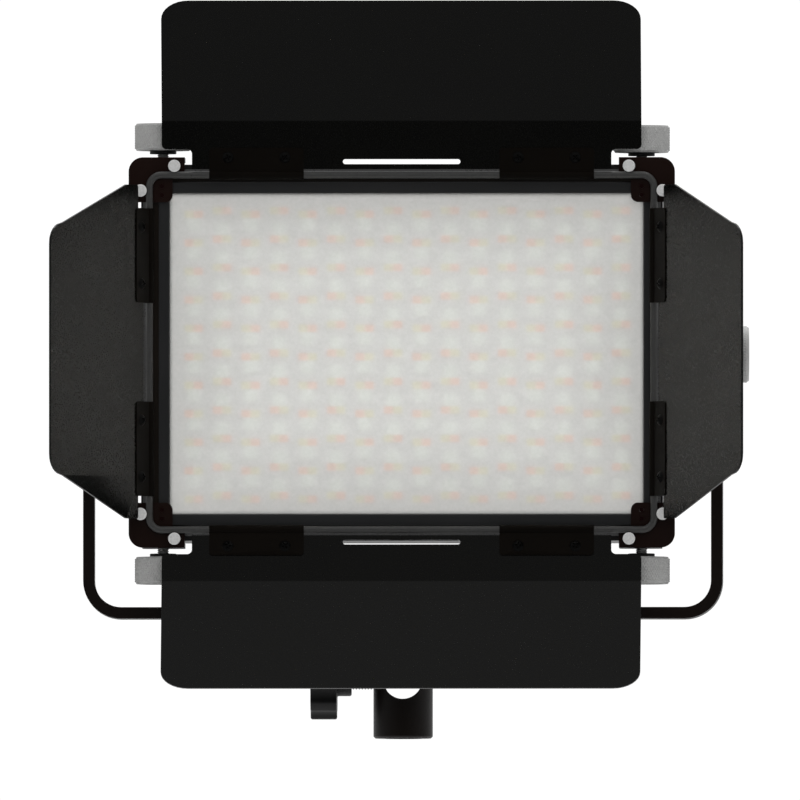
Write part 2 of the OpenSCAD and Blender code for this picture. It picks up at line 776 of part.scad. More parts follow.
module clips_right() color([0.08, 0.06, 0.055]) on_right() clips(side_clip_x);

module clip_screws_top() color([0.06, 0.06, 0.06]) on_top() clip_screws(wide_clip_x);

module clip_screws_bottom() color([0.06, 0.06, 0.06]) on_bottom() clip_screws(wide_clip_x);

module clip_screws_left() color([0.06, 0.06, 0.06]) on_left() clip_screws(side_clip_x);

module clip_screws_right() color([0.06, 0.06, 0.06]) on_right() clip_screws(side_clip_x);

/* Yoke and receiver */

// Half of the U, from its middle to the top of one arm
module yoke_half_outline() {
    inner_r = yoke_bend_r - yoke_t;
    outer_x = yoke_half + yoke_t;
    square([outer_x - yoke_bend_r, yoke_t]);
    translate([outer_x - yoke_bend_r, yoke_bend_r]) intersection() {
        difference() {
            circle(yoke_bend_r);
            circle(inner_r);
        }
        translate([0, -yoke_bend_r]) square(yoke_bend_r);
    }
    translate([yoke_half, yoke_bend_r]) square([yoke_t, yoke_drop - yoke_bend_r]);
}

module yoke() color([0.11, 0.08, 0.07]) difference() {
    for (side = [0, 1]) mirror([side, 0, 0]) {
        translate([0, 0, yoke_base_z]) along_y(-yoke_bar_w / 2, yoke_bar_w / 2) yoke_half_outline();
        at_lamp() cyl_x(yoke_bar_w / 2, yoke_half, yoke_half + yoke_t);
    }
    for (side = [0, 1]) mirror([side, 0, 0])
        at_lamp() cyl_x(tilt_stud_r + gap, yoke_half - cut, yoke_half + yoke_t + cut);
    cyl_z(swivel_bolt_r + gap, yoke_base_z - cut, yoke_base_z + yoke_t + cut);
}

module tilt_washers() color([0.2, 0.2, 0.2]) at_lamp() for (side = [0, 1])
    mirror([side, 0, 0]) difference() {
        cyl_x(9.5, yoke_half - 0.8, yoke_half);
        cyl_x(tilt_stud_r + gap, yoke_half - 2, yoke_half + cut);
    }

module tilt_knob() at_lamp() translate([yoke_half + yoke_t + gap, 0, 0]) rotate([0, 90, 0])
    knob_and_stud(tilt_knob_h, tilt_neck_r, tilt_neck_h, tilt_stud_r, tilt_screw_len);

module tilt_knob_left() color([0.78, 0.78, 0.78]) mirror([1, 0, 0]) tilt_knob();

module tilt_knob_right() color([0.78, 0.78, 0.78]) tilt_knob();

module receiver() color([0.09, 0.07, 0.06]) difference() {
    bevelled_cylinder(receiver_d / 2, receiver_h, 0.8);
    cyl_z(socket_d / 2, -cut, socket_depth);
    translate([0, 0, cross_z]) cyl_y(socket_d / 2, -receiver_d, receiver_d);
    cyl_z(swivel_bolt_r + gap, socket_depth - cut, receiver_h + cut);
    translate([0, 0, cross_z]) cyl_x(swivel_bolt_r + gap, -receiver_d, 0);
}

module swivel_washer() color([0.15, 0.15, 0.15]) difference() {
    cyl_z(receiver_d / 2 - 1, receiver_h, yoke_base_z - gap);
    cyl_z(swivel_bolt_r + gap, receiver_h - cut, yoke_base_z + cut);
}

// A socket-head bolt through the yoke's base, about which the yoke swivels
module swivel_bolt() color([0.3, 0.3, 0.3]) difference() {
    head_z = yoke_base_z + yoke_t + gap;
    union() {
        cyl_z(swivel_bolt_r, socket_depth + 0.5, head_z);
        cyl_z(8, head_z, head_z + 1.2);
        cyl_z(6.5, head_z + 1.2, head_z + 8);
    }
    translate([0, 0, head_z + 4]) cylinder(h = 5, r = 3.4, $fn = 6);
}

// The clamping screw runs in through the receiver's wall to press on a stand pin
module lock_screw() color([0.3, 0.3, 0.3]) translate([0, 0, cross_z])
    cyl_x(swivel_bolt_r, knob_x + lock_bore_z, -socket_d / 2 - 0.1);

// A lobed hand knob with a collar
module lock_knob() color([0.15, 0.15, 0.15]) translate([knob_x, 0, cross_z]) rotate([0, 90, 0])
    difference() {
        lobes = 8;
        scallop_r = 5.5;
        scallop_x = 20;
        union() {
            difference() {
                cylinder(h = lock_grip_h, r = lock_knob_r);
                for (i = [0:lobes - 1]) rotate([0, 0, (i + 0.5) * 360 / lobes])
                    translate([scallop_x, 0, 0]) cyl_z(scallop_r, -cut, lock_grip_h + cut);
            }
            cyl_z(lock_collar_r, lock_grip_h, lock_knob_h);
        }
        cyl_z(swivel_bolt_r, lock_bore_z, lock_knob_h + cut);
    }

housing();
front_bezel();
diffuser();
mixing_frame();
led_board();
warm_leds();
cool_leds();
rgb_leds();
heat_sink();
board_screws();
driver_board();
control_board();
wire_harness();
rear_cover();
rear_screws();
bezel_screws();
display();
display_window();
encoders();
dial_left();
dial_right();
button_menu();
button_mode();
button_back();
button_preset();
power_switch_frame();
power_rocker();
dc_jack();
tilt_bosses();
wire_frame();
corner_brackets();
bracket_rivets();
tab_rivets();
thumbscrew_top_left();
thumbscrew_top_right();
thumbscrew_bottom_left();
thumbscrew_bottom_right();
leaf_top();
leaf_bottom();
leaf_left();
leaf_right();
clips_top();
clips_bottom();
clips_left();
clips_right();
clip_screws_top();
clip_screws_bottom();
clip_screws_left();
clip_screws_right();
yoke();
tilt_washers();
tilt_knob_left();
tilt_knob_right();
receiver();
swivel_washer();
swivel_bolt();
lock_knob();
lock_screw();
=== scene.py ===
"""LED panel light with barn doors: the looks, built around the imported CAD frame. Metres, +Z up, facing -Y."""

import json
import math

import bpy
from mathutils import Matrix, Vector


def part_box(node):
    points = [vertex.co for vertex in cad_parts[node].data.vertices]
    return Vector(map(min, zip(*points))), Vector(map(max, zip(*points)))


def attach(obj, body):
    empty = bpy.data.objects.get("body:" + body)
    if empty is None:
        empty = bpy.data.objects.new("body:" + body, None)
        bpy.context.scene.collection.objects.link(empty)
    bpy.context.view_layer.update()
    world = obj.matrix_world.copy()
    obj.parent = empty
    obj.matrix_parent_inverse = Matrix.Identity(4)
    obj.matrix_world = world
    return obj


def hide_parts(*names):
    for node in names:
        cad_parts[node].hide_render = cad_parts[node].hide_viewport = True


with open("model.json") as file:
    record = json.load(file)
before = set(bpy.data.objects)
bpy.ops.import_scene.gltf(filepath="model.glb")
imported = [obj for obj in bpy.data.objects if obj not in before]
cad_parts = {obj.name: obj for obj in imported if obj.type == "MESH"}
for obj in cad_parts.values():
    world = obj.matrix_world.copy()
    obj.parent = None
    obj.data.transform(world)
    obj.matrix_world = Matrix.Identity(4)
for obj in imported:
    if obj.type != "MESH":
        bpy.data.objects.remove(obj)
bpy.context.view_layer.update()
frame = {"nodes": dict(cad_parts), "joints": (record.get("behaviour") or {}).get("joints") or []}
nodes = frame["nodes"]

MM = 0.001
CREASE = 35                          # degrees between two faces from which their edge counts as one

WIRE_LOW, WIRE_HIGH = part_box("wire_frame")
LAMP = (WIRE_LOW + WIRE_HIGH) / 2    # centre of the barn-door frame

CORNERS = ("top_left", "top_right", "bottom_left", "bottom_right")
LEAVES = ("top", "bottom", "left", "right")
BUTTONS = ("menu", "mode", "back", "preset")


# ---------------------------------------------------------------- material helpers

class Graph:
    """The node tree of a material or world, with short calls for the nodes that the looks share."""

    def __init__(self, owner, coords="Object"):
        owner.use_nodes = True
        self.owner = owner
        self.tree = owner.node_tree
        self.tree.nodes.clear()
        self.coords = self.node("ShaderNodeTexCoord").outputs[coords]

    def node(self, kind, **values):
        """A new node. A value is one of its settings, or an input's name with _ for each space."""
        made = self.tree.nodes.new(kind)
        for key, value in values.items():
            if hasattr(made, key):
                setattr(made, key, value)
            else:
                self.put(made.inputs[key.replace("_", " ")], value)
        return made

    def put(self, socket, value):
        if isinstance(value, bpy.types.NodeSocket):
            self.tree.links.new(value, socket)
        else:
            socket.default_value = value

    def noise(self, per_metre, detail=2.0, rough=0.5, stretch=None):
        where = self.coords
        if stretch:
            where = self.node("ShaderNodeMapping", Scale=stretch, Vector=where).outputs["Vector"]
        return self.node("ShaderNodeTexNoise", Vector=where, Scale=per_metre, Detail=detail,
                         Roughness=rough).outputs["Fac"]

    def spread(self, value, low, high, start=0.3, end=0.7):
        """Carries start..end over to low..high. A noise's values lie mostly from 0.3 to 0.7."""
        return self.node("ShaderNodeMapRange", Value=value, From_Min=start, From_Max=end, To_Min=low,
                         To_Max=high).outputs["Result"]

    def maths(self, operation, a, b=0.0):
        made = self.node("ShaderNodeMath", operation=operation)
        self.put(made.inputs[0], a)
        self.put(made.inputs[1], b)
        return made.outputs[0]

    def mix(self, fac, a, b):
        return self.node("ShaderNodeMix", data_type="RGBA", Factor=fac, A=a, B=b).outputs["Result"]

    def blend(self, fac, a, b):
        made = self.node("ShaderNodeMixShader")
        for socket, value in zip(made.inputs, (fac, a, b)):
            self.put(socket, value)
        return made.outputs[0]

    def bump(self, height, depth, normal=None):
        made = self.node("ShaderNodeBump", Strength=1.0, Distance=depth, Height=height)
        if normal:
            self.put(made.inputs["Normal"], normal)
        return made.outputs["Normal"]

    def softened(self, radius, samples):
        """The normal as it would be if edges were rounded to a radius."""
        return self.node("ShaderNodeBevel", samples=samples, Radius=radius).outputs["Normal"]

    def edges(self, radius):
        """1 on edges and 0 on faces, from how far the softened normal leans."""
        dot = self.node("ShaderNodeVectorMath", operation="DOT_PRODUCT")
        self.put(dot.inputs[0], self.softened(radius, 4))
        self.put(dot.inputs[1], self.node("ShaderNodeNewGeometry").outputs["Normal"])
        return self.spread(dot.outputs["Value"], 1.0, 0.0, 0.80, 0.97)

    def from_behind(self):
        """1 for a ray that meets the back of a face."""
        return self.node("ShaderNodeNewGeometry").outputs["Backfacing"]

    def clear(self, color=(1, 1, 1, 1)):
        return self.node("ShaderNodeBsdfTransparent", Color=color).outputs["BSDF"]

    def principled(self, **values):
        return self.node("ShaderNodeBsdfPrincipled", **values).outputs["BSDF"]

    def finish(self, shader, output="ShaderNodeOutputMaterial"):
        self.node(output, Surface=shader)
        return self.owner


def material_graph(name):
    return Graph(bpy.data.materials.new(name))


def tone(color, factor):
    return (*[min(1.0, c * factor) for c in color], 1.0)


# ---------------------------------------------------------------- kinds of material

# Noise scales, per metre
COAT_PATCHES = 28          # handling marks on coats and plastics
METAL_PATCHES = 60         # the same on bare metal
RUBBED_BREAKS = 160        # breaks along rubbed edges
SMEARS = 90                # on the display's window


def coated(name, color, rough, grain=900, depth=0.02, wear=None, wear_size=0.25, specular=0.5, patch=0.12,
           round_over=0):
    """Powder coat or moulded plastic: fine grain, patches of handling sheen, and edges rubbed lighter."""
    g = material_graph(name)
    patches = g.noise(COAT_PATCHES, 3)
    shade = g.mix(g.spread(patches, 0.0, 1.0), tone(color, 0.85), tone(color, 1.15))
    fine = g.noise(grain, 3, 0.6)
    roughness = g.maths("ADD", g.spread(patches, rough - patch / 2, rough + patch / 2),
                        g.spread(fine, -0.05, 0.05))
    if wear:
        breaks = g.spread(g.noise(RUBBED_BREAKS, 4, 0.7), 0.1, 0.8)
        rubbed = g.maths("MULTIPLY", g.edges(wear_size * MM), breaks)
        shade = g.mix(rubbed, shade, (*wear, 1.0))
    rounded = g.softened(round_over * MM, 6) if round_over else None
    return g.finish(g.principled(Base_Color=shade, Roughness=roughness, Specular_IOR_Level=specular,
                                 Normal=g.bump(fine, depth * MM, rounded)))


def metal(name, color, rough, grain=700, depth=0.008, stretch=None, metallic=1.0, wear=None):
    """Bare metal: drawn or turned grain, and a mottled roughness from handling."""
    g = material_graph(name)
    lines = g.noise(grain, 3, 0.55, stretch)
    patches = g.noise(METAL_PATCHES, 3)
    shade = g.mix(g.spread(lines, 0.0, 1.0), tone(color, 0.88), tone(color, 1.08))
    if wear:
        shade = g.mix(g.maths("MULTIPLY", g.edges(0.3 * MM), 0.6), shade, (*wear, 1.0))
    roughness = g.maths("ADD", g.spread(patches, rough - 0.06, rough + 0.06), g.spread(lines, -0.05, 0.05))
    return g.finish(g.principled(Base_Color=shade, Metallic=metallic, Roughness=roughness,
                                 Normal=g.bump(lines, depth * MM)))


def lit(name, color, glow, rough=0.4, grain=900):
    """A pale part inside the mixing chamber that glows. On the reflector and the board the glow is painted
    light, standing in for the light scattered in the chamber; on the LEDs it is their own light.
    """
    g = material_graph(name)
    fine = g.noise(grain, 3)
    shade = g.mix(g.spread(fine, 0.0, 1.0), tone(color, 0.94), tone(color, 1.04))
    return g.finish(g.principled(Base_Color=shade, Roughness=g.spread(fine, rough - 0.05, rough + 0.05),
                                 Emission_Color=shade, Emission_Strength=glow,
                                 Normal=g.bump(fine, 0.01 * MM)))


DIFFUSER_WHITE = (0.50, 0.50, 0.487)
DIFFUSER_CLEAR = 0.45      # part of the light that passes the diffuser without scattering
WINDOW_CLEAR = 0.35        # the same for the display's window
RIM_SHADE = 0.70           # painted shade: the diffuser's brightness next to the bezel, against the middle
RIM_MM = (2.0, 3.6)        # distances from its edge between which that shade fades
SIDE_SHADE = 0.86          # painted shade: its brightness near the sides, against the middle
SIDE_MM = (2.5, 36)        # distances from its edge between which that shade fades


def inset_from_edge(g, node):
    """How far a point is inside a CAD node's outline, seen from the front."""
    low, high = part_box(node)
    middle, half = (low + high) / 2, (high - low) / 2
    place = g.node("ShaderNodeSeparateXYZ", Vector=g.coords)
    reach = []
    for axis, i in (("X", 0), ("Z", 2)):
        off = g.maths("SUBTRACT", place.outputs[axis], middle[i])
        reach.append(g.maths("SUBTRACT", half[i], g.maths("ABSOLUTE", off)))
    return g.maths("MINIMUM", *reach)


def frosted(name):
    """Frosted acrylic that scatters most of the light and lets the rest through, with painted shade making it
    dimmer towards its rim and sides.
    """
    g = material_graph(name)
    fine = g.noise(700, 4, 0.65)
    inset = inset_from_edge(g, "diffuser")
    # painted shade: both the diffuser's colour and the light it lets through are darkened towards its rim and
    # sides
    painted_rim_shade = g.maths("MULTIPLY", *[g.spread(inset, shade, 1.0, start * MM, end * MM)
                                    for shade, (start, end) in ((RIM_SHADE, RIM_MM), (SIDE_SHADE, SIDE_MM))])
    tint = g.mix(g.spread(fine, 0.0, 1.0), tone(DIFFUSER_WHITE, 0.96), tone(DIFFUSER_WHITE, 1.04))
    face = g.principled(Base_Color=g.mix(painted_rim_shade, (0.02, 0.02, 0.02, 1), tint),
                        Roughness=g.spread(g.noise(40, 3), 0.5, 0.62), Specular_IOR_Level=0.2,
                        Normal=g.bump(fine, 0.02 * MM))
    through = g.clear(g.mix(painted_rim_shade, (0, 0, 0, 1), (1, 1, 1, 1)))
    return g.finish(g.blend(g.from_behind(), g.blend(DIFFUSER_CLEAR, face, through), g.clear()))


def clear_window(name):
    """Smoked clear window over the display."""
    g = material_graph(name)
    smear = g.noise(SMEARS, 3)
    glass = g.principled(Base_Color=(0.02, 0.022, 0.026, 1), Roughness=g.spread(smear, 0.06, 0.16),
                         Normal=g.bump(smear, 0.01 * MM))
    return g.finish(g.blend(WINDOW_CLEAR, glass, g.clear()))


# ---------------------------------------------------------------- the looks

# wear is the colour of rubbed edges. depth, wear_size and round_over are in millimetres, grain is per metre.
COATED = {
    "leaf_coat": dict(color=(0.0006, 0.0006, 0.0003), rough=0.28, grain=1500, depth=0.006, specular=0.25,
                      patch=0.05),
    "bracket_coat": dict(color=(0.0056, 0.0015, 0.0007), rough=0.5, grain=1300, depth=0.012, specular=0.15,
                         wear=(0.02, 0.012, 0.01), wear_size=0.2),
    "clip_coat": dict(color=(0.0022, 0.0015, 0.0009), rough=0.5, grain=1300, depth=0.01, specular=0.07,
                      wear=(0.012, 0.01, 0.009), wear_size=0.15),
    "screw_black": dict(color=(0.001, 0.001, 0.0009), rough=0.35, grain=1500, depth=0.004, specular=0.12,
                        wear=(0.008, 0.008, 0.008), wear_size=0.1),
    "yoke_coat": dict(color=(0.0038, 0.0014, 0.0006), rough=0.5, grain=1100, depth=0.015, specular=0.25,
                      wear=(0.02, 0.013, 0.01), wear_size=0.3, round_over=0.6),
    "receiver_coat": dict(color=(0.0055, 0.0024, 0.0012), rough=0.48, grain=1100, depth=0.012, specular=0.35,
                          wear=(0.022, 0.017, 0.014), wear_size=0.3, round_over=0.3),
    "housing_anodised": dict(color=(0.008, 0.0075, 0.0075), rough=0.45, grain=1000, depth=0.01, specular=0.35,
                             wear=(0.05, 0.048, 0.045)),
    "bezel_plastic": dict(color=(0.0066, 0.0069, 0.0074), rough=0.5, grain=1200),
    # painted shade: the bezel's outer band round the raised border, darker and browner than its plastic
    "bezel_base": dict(color=(0.0045, 0.0026, 0.0011), rough=0.55, grain=1200, specular=0.25),
    # painted highlight: the outer chamfer is coloured lighter than the bezel's plastic; its low roughness is
    # real gloss
    "bezel_edge": dict(color=(0.03, 0.03, 0.03), rough=0.3, grain=1200, depth=0.008),
    "black_plastic": dict(color=(0.010, 0.010, 0.010), rough=0.5, grain=800, depth=0.03, specular=0.4,
                          wear=(0.02, 0.02, 0.02), wear_size=0.3),
    "knob_plastic": dict(color=(0.012, 0.012, 0.012), rough=0.5, depth=0.03, specular=0.3,
                         wear=(0.03, 0.03, 0.03), wear_size=0.3),
    "button_rubber": dict(color=(0.022, 0.022, 0.024), rough=0.6, grain=1100),
    "red_plastic": dict(color=(0.32, 0.012, 0.01), rough=0.3, grain=500, depth=0.008,
                        wear=(0.45, 0.05, 0.04)),
    "print_white": dict(color=(0.75, 0.75, 0.73), rough=0.5, depth=0.005),
    "washer_rubber": dict(color=(0.012, 0.012, 0.012), rough=0.62, depth=0.03),
    "solder_mask": dict(color=(0.01, 0.11, 0.045), rough=0.35, grain=600, depth=0.01),
    "lead_insulation": dict(color=(0.35, 0.02, 0.02), rough=0.45, grain=700, depth=0.01),
    "display_dark": dict(color=(0.03, 0.04, 0.045), rough=0.25, depth=0.004),
    "rivet_dark": dict(color=(0.0045, 0.0003, 0.0003), rough=0.45, grain=1500, depth=0.004, specular=0.1),
}
METAL = {
    "wire_grey": dict(color=(0.056, 0.056, 0.055), rough=0.36, grain=900, depth=0.01, metallic=0.6,
                      wear=(0.3, 0.3, 0.29)),
    "rivet_bright": dict(color=(0.54, 0.54, 0.535), rough=0.42, grain=1200, depth=0.006, metallic=0.35),
    "dark_steel": dict(color=(0.03, 0.029, 0.028), rough=0.42, grain=1500, depth=0.01, metallic=0.8,
                       wear=(0.15, 0.145, 0.14)),
    "zinc_steel": dict(color=(0.56, 0.56, 0.57), rough=0.34, grain=1200, depth=0.006),
    "mill_aluminium": dict(color=(0.6, 0.61, 0.62), rough=0.4, grain=500, depth=0.01, stretch=(0.1, 1, 1)),
    "knob_aluminium": dict(color=(0.345, 0.345, 0.34), rough=0.45, grain=900, metallic=0.4,
                           wear=(0.5, 0.5, 0.5)),
}
# emission: painted light on the reflector and the board, the LEDs' own light on the LEDs
LAMP_AND_PAINTED_GLOW = {
    "reflector_white": dict(color=(0.9, 0.9, 0.89), glow=0.1, rough=0.6),
    "board_white": dict(color=(0.84, 0.84, 0.83), glow=0.18),
    "led_warm": dict(color=(0.96, 0.63, 0.52), glow=0.26),
    "led_cool": dict(color=(0.90, 0.85, 0.60), glow=0.21),
    "led_rgb": dict(color=(0.89, 0.93, 0.87), glow=0.26),
}
MATERIALS = {"frosted": frosted("frosted"), "clear_window": clear_window("clear_window")}
for kind, looks in ((coated, COATED), (metal, METAL), (lit, LAMP_AND_PAINTED_GLOW)):
    MATERIALS.update((name, kind(name, **look)) for name, look in looks.items())


# ---------------------------------------------------------------- CAD nodes that are kept

# Each node's material, and the radius in millimetres that its edges are broken to. The yoke and receiver have
# holes that a bevel would shade badly, so their coats round their edges over instead.
KEPT = {
    "housing": ("housing_anodised", 0.5),
    "diffuser": ("frosted", 0),
    "mixing_frame": ("reflector_white", 0),
    "led_board": ("board_white", 0),
    "warm_leds": ("led_warm", 0),
    "cool_leds": ("led_cool", 0),
    "rgb_leds": ("led_rgb", 0),
    "heat_sink": ("mill_aluminium", 0.15),
    "board_screws": ("zinc_steel", 0.2),
    "driver_board": ("solder_mask", 0.1),
    "control_board": ("solder_mask", 0.1),
    "wire_harness": ("lead_insulation", 0),
    "rear_cover": ("black_plastic", 0.4),
    "display": ("display_dark", 0.1),
    "display_window": ("clear_window", 0.1),
    "encoders": ("zinc_steel", 0.1),
    "power_switch_frame": ("black_plastic", 0.3),
    "power_rocker": ("red_plastic", 0.4),
    "dc_jack": ("black_plastic", 0.3),
    "tilt_bosses": ("housing_anodised", 0.5),
    "wire_frame": ("wire_grey", 0),
    "corner_brackets": ("bracket_coat", 0.25),
    "bracket_rivets": ("rivet_bright", 0.15),
    "tab_rivets": ("rivet_dark", 0.1),
    "yoke": ("yoke_coat", 0),
    "tilt_washers": ("washer_rubber", 0.15),
    "receiver": ("receiver_coat", 0),
    "swivel_washer": ("washer_rubber", 0.15),
    "swivel_bolt": ("dark_steel", 0.3),
}
KEPT.update(("button_" + button, ("button_rubber", 0.4)) for button in BUTTONS)
KEPT.update(("leaf_" + side, ("leaf_coat", 0.1)) for side in LEAVES)
KEPT.update(("clips_" + side, ("clip_coat", 0.1)) for side in LEAVES)


def dress(node, material, radius):
    """Gives a CAD node its material, and breaks its sharp edges without touching its mesh."""
    piece = nodes[node]
    for slot in piece.material_slots:
        slot.material = MATERIALS[material]
    if radius:
        weld = piece.modifiers.new("weld", "WELD")
        weld.merge_threshold = 0.001 * MM
        bevel = piece.modifiers.new("bevel", "BEVEL")
        bevel.width = radius * MM
        bevel.segments = 2
        bevel.limit_method = "ANGLE"
        bevel.angle_limit = math.radians(CREASE)
        bevel.use_clamp_overlap = True
        bevel.harden_normals = True


for node, (material, radius) in KEPT.items():
    dress(node, material, radius)


# ---------------------------------------------------------------- shapes, in millimetres

class Solid:
    """Shapes gathered into one piece. A shape is a list of points and a list of faces."""

    def __init__(self):
        self.points, self.faces, self.slots = [], [], []

    def add(self, shape, place=Matrix.Identity(4), slot=0):
        """Adds a shape at a place. slot is a number for the whole shape, or a list with one for each face."""
        points, faces = shape
        base = len(self.points)
        turned_over = place.determinant() < 0
        for face in faces:
            face = [base + i for i in face]
            self.faces.append(face[::-1] if turned_over else face)
        self.slots += slot if isinstance(slot, list) else [slot] * len(faces)
        self.points += [place @ Vector(p) for p in points]

    def build(self, name, body, materials, replaces, sharp=CREASE):
        """Makes the piece, which rides on a body in place of a CAD node."""
        mesh = bpy.data.meshes.new(name)
        mesh.from_pydata([p * MM for p in self.points], [], self.faces)
        for material in materials:
            mesh.materials.append(MATERIALS[material])
        mesh.polygons.foreach_set("material_index", self.slots)
        mesh.polygons.foreach_set("use_smooth", [True] * len(self.faces))
        mesh.set_sharp_from_angle(angle=math.radians(sharp))
        made = bpy.data.objects.new(name, mesh)
        bpy.context.scene.collection.objects.link(made)
        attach(made, body)
        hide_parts(replaces)


def along(origin, axis):
    """Places a shape's own +Z on an axis, from an origin in millimetres."""
    return Matrix.Translation(origin) @ Vector(axis).to_track_quat("Z", "Y").to_matrix().to_4x4()


def lifted(height):
    return Matrix.Translation((0, 0, height))


def turned(profile, steps, shape=None):
    """A profile of (radius, height) turned about Z. shape(radius, height, angle) reshapes the radius."""
    points, rings = [], []
    for radius, height in profile:
        count = steps if radius else 1
        rings.append(range(len(points), len(points) + count))
        for i in range(count):
            angle = 2 * math.pi * i / steps
            r = shape(radius, height, angle) if shape and radius else radius
            points.append((r * math.cos(angle), r * math.sin(angle), height))
    faces = []
    for low, high in zip(rings, rings[1:]):
        for i in range(steps):
            j = (i + 1) % steps
            if len(low) == 1:
                faces.append((low[0], high[j], high[i]))
            elif len(high) == 1:
                faces.append((low[i], low[j], high[0]))
            else:
                faces.append((low[i], low[j], high[j], high[i]))
    return points, faces


def zigzag(x):
    """0 at whole numbers and 1 halfway between them."""
    return 1 - abs(2 * (x % 1) - 1)


def levels(start, end, step):
    """Evenly spaced values from start to end, about a step apart."""
    count = max(2, round((end - start) / step) + 1)
    return [start + (end - start) * i / (count - 1) for i in range(count)]


def threaded(radius, pitch, start, end, chamfer=0.4, steps=32, steps_per_pitch=6):
    """A screw thread as a helical ridge, with chamfered ends."""
    depth = 0.6 * pitch
    root = radius - depth

    def ridge(r, z, angle):
        cut = depth * (1 - zigzag(z / pitch - angle / (2 * math.pi)))
        return min(r, radius - cut)

    body = [(radius, z) for z in levels(start + chamfer, end - chamfer, pitch / steps_per_pitch)]
    return turned([(0, start), (root, start)] + body + [(root, end), (0, end)], steps, ridge)


def knurled(radius, height, bevel=0.8, teeth=62, depth=0.3):
    """A diamond-knurled knob with bevelled ends and a stepped dish on top. It stands on z = 0."""
    lead = 2.1
    steps_per_tooth, steps_per_lead = 4, 8
    under_knurl = radius - depth - 0.1
    dish_r, hub_r, slope_w = 0.80 * radius, 0.30 * radius, 0.03 * radius
    dish_z, hub_z = height - 0.35, height - 0.6

    def diamonds(r, z, angle):
        if r < radius - 0.01:
            return r
        turn = teeth * angle / (2 * math.pi)
        return r - depth * (1 - min(zigzag(turn + z / lead), zigzag(turn - z / lead)))

    grip = [(radius, z) for z in levels(bevel, height - bevel, lead / steps_per_lead)]
    lip = radius - bevel
    profile = [(0, 0), (lip, 0), (under_knurl, bevel)]
    profile += grip
    profile += [(under_knurl, height - bevel), (lip, height), (dish_r, height), (dish_r - slope_w, dish_z),
                (hub_r, dish_z), (hub_r - slope_w, hub_z), (0, hub_z)]
    return turned(profile, teeth * steps_per_tooth, diamonds)


def disc(radius, thickness, bevel=0.15, steps=48):
    return turned([(0, 0), (radius - bevel, 0), (radius, bevel), (radius, thickness - bevel),
                   (radius - bevel, thickness), (0, thickness)], steps)


def nut(radius, thickness):
    """A hexagon nut with its corners turned down."""
    return disc(radius, thickness, 0.25, 6)


def cross_recess(radius):
    """Whether a point lies in a cross-shaped recess, for a screw head's radius."""
    reach, half_slot = 0.56 * radius, 0.13 * radius
    return lambda x, y: min(abs(x), abs(y)) < half_slot and max(abs(x), abs(y)) < reach


def hex_recess(radius):
    """Whether a point lies in a six-sided recess, for a screw head's radius."""
    flat = 0.42 * radius
    ways = [(math.cos(a), math.sin(a)) for a in (0, math.pi / 3, -math.pi / 3)]
    return lambda x, y: all(abs(x * cx + y * cy) < flat for cx, cy in ways)


def recessed_head(radius, height, recess, steps=64, rings=15):
    """A domed screw head with a recess, standing on z = 0."""
    sphere_r = (radius * radius + height * height) / (2 * height)
    recess_depth = 0.6 * height
    inside = recess(radius)
    top = [(radius * i / rings, 0) for i in range(rings - 1, -1, -1)]
    points, faces = turned([(0, 0), (radius, 0)] + top, steps)
    shaped = points[:1]
    for x, y, z in points[1:]:
        dome = math.sqrt(max(sphere_r ** 2 - x * x - y * y, 0)) - (sphere_r - height)
        shaped.append((x, y, max(dome, 0) - (recess_depth if inside(x, y) else 0)))
    return shaped, faces


def rounded_loop(centre, width, height, radius, y, corner_steps=8):
    """Points of an upright rounded rectangle at depth y, anticlockwise seen from the front."""
    cx, cz = centre
    points = []
    for quarter, (sx, sz) in enumerate(((1, 1), (-1, 1), (-1, -1), (1, -1))):
        for i in range(corner_steps + 1):
            a = math.radians(90 * (quarter + i / corner_steps))
            points.append((cx + sx * (width / 2 - radius) + radius * math.cos(a), y,
                           cz + sz * (height / 2 - radius) + radius * math.sin(a)))
    return points


def lofted(loops):
    """Faces between loops of equally many points, closed from the last back to the first."""
    count = len(loops[0])
    points = [p for loop in loops for p in loop]
    faces = []
    for k in range(len(loops)):
        here, there = k * count, ((k + 1) % len(loops)) * count
        faces += [(here + i, here + (i + 1) % count, there + (i + 1) % count, there + i)
                  for i in range(count)]
    return points, faces


def block(low, high):
    """A box from its lowest to its highest corner."""
    points = [(x, y, z) for x in (low[0], high[0]) for y in (low[1], high[1]) for z in (low[2], high[2])]
    return points, [(0, 1, 3, 2), (4, 6, 7, 5), (0, 4, 5, 1), (2, 3, 7, 6), (0, 2, 6, 4), (1, 5, 7, 3)]


def span(node):
    """A CAD node's lowest corner, highest corner and middle, in millimetres."""
    low, high = [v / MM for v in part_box(node)]
    return low, high, (low + high) / 2


# ---------------------------------------------------------------- knobs

KNOB_H = 11.4              # knurled part of the barn doors' thumbscrews
WASHER_R = 5.6             # their captive washers
WASHER_T = 1.4
THUMB_STUD = (2.5, 0.8)    # radius and pitch of an M5 thread
TILT_KNOB_H = 8.9          # knurled part of the tilt knobs
NECK_R = 7.0               # the tilt knobs' plain necks
NECK_H = 2.0
M8_STUD = (4.0, 1.25)      # the same of an M8 thread
OVERLAP = 0.1              # how far a stud reaches into what it grows from


def thumbscrew(corner):
    """Knob, captive washer and threaded stud. The washer and stud lie towards the head."""
    name = "thumbscrew_" + corner
    low, high, middle = span(name)
    radius = (high.x - low.x) / 2
    away = 1 if corner.startswith("top") else -1
    outer = high.z if away > 0 else low.z
    place = along((middle.x, middle.y, outer - away * KNOB_H), (0, 0, away))
    stud_end = high.z - low.z - KNOB_H
    made = Solid()
    made.add(knurled(radius, KNOB_H), place)
    made.add(disc(WASHER_R, WASHER_T), place @ lifted(-WASHER_T), 1)
    made.add(threaded(*THUMB_STUD, -stud_end, OVERLAP - WASHER_T), place, 2)
    made.build(name + "_knurled", name,
               ["knob_aluminium", "black_plastic", "knob_aluminium"], name)


